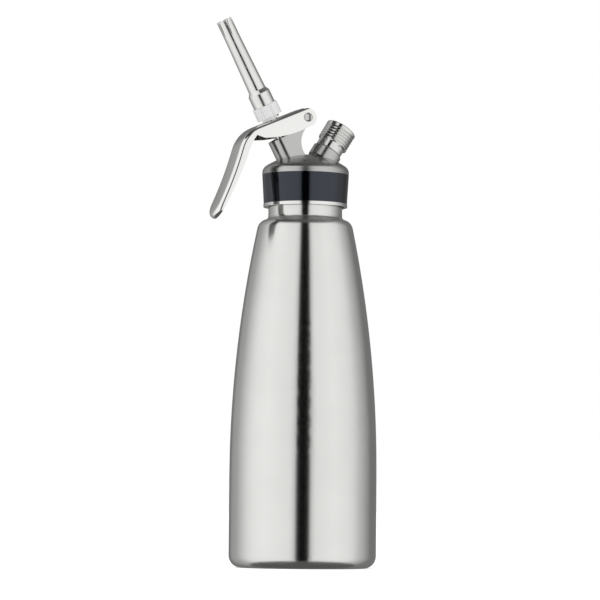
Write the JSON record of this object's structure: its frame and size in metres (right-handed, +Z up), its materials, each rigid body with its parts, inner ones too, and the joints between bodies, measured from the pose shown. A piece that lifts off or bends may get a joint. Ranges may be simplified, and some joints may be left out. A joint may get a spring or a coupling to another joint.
{
  "type": "whipped cream dispenser",
  "caption": "Pressure bottle with a screw-on head, squeeze lever, sprung valve, decorating nozzle and threaded gas charger port.",
  "frame": {"origin": "centre of the foot ring, on the plane that the bottle stands on", "axes": "+Z up the bottle's axis; -X toward the lever and the nozzle, +X toward the charger port; the lever turns in the X-Z plane"},
  "size_m": [0.1138, 0.096, 0.358],
  "materials": {
    "bottle_steel": "fine horizontal brushing",
    "head_metal": "satin",
    "band_plastic": "gloss charcoal",
    "seal_rubber": "matte black",
    "fitting_steel": "turned",
    "spring_steel": "drawn wire",
    "inner_plastic": "matte",
    "lever_steel": "polished",
    "white_plastic": "matte white",
    "tip_steel": "satin",
    "port_chrome": "bright"
  },
  "bodies": {
    "bottle": {"bottle_shell": "bottle_steel", "neck_ring": "bottle_steel"},
    "gasket": {"head_gasket": "seal_rubber"},
    "head": {"head_body": "head_metal", "grip_band": "band_plastic", "lever_pin": "fitting_steel", "charger_socket": "port_chrome", "socket_o_ring": "seal_rubber", "charger_seal": "seal_rubber", "piercing_pin": "fitting_steel", "cage_nut": "fitting_steel", "valve_spring": "spring_steel", "check_spring": "spring_steel"},
    "stem": {"valve_stem": "fitting_steel", "stem_o_ring": "seal_rubber", "spring_cap": "inner_plastic", "poppet_seal": "seal_rubber", "poppet_nut": "fitting_steel", "lock_nut": "fitting_steel"},
    "lever": {"lever": "lever_steel"},
    "washer": {"adapter_washer": "seal_rubber"},
    "nozzle": {"nozzle_adapter": "white_plastic", "decorator_tip": "tip_steel"},
    "check_valve": {"check_valve": "inner_plastic"}
  },
  "joints": [
    {"name": "head_lift", "type": "slide", "parent": "bottle", "child": "gasket", "axis": [0, 0, 1], "range_m": [0, 0.01051]},
    {"name": "head_turn", "type": "hinge", "parent": "gasket", "child": "head", "pos_m": [0, 0, 0.23559], "axis": [0, 0, 1], "range_deg": [0, 1080]},
    {"name": "lever_pivot", "type": "hinge", "parent": "head", "child": "lever", "pos_m": [-0.0025, 0, 0.29394], "axis": [0, -1, 0], "range_deg": [0, 10], "stiffness_Nm_per_rad": 0.9, "springref_deg": -20.05},
    {"name": "valve_push", "type": "slide", "parent": "head", "child": "stem", "axis": [0.4695, 0, -0.8829], "range_m": [0, 0.00366], "deforming": ["valve_spring"]},
    {"name": "nozzle_lift", "type": "slide", "parent": "stem", "child": "washer", "axis": [-0.4695, 0, 0.8829], "range_m": [0, 0.006]},
    {"name": "nozzle_turn", "type": "hinge", "parent": "washer", "child": "nozzle", "pos_m": [-0.02559, 0, 0.29402], "axis": [-0.4695, 0, 0.8829], "range_deg": [0, 1440.5]},
    {"name": "check_open", "type": "slide", "parent": "head", "child": "check_valve", "axis": [-0.5373, 0, -0.8434], "range_m": [0, 0.0008], "stiffness_N_per_m": 150, "springref_m": -0.002, "deforming": ["check_spring"]}
  ],
  "couplings": [
    {"joint": "head_lift", "follows": "head_turn", "m_per_rad": 0.00055704},
    {"joint": "valve_push", "follows": "lever_pivot", "m_per_rad": 0.020856},
    {"joint": "nozzle_turn", "follows": "nozzle_lift", "rad_per_m": 4188.8}
  ]
}
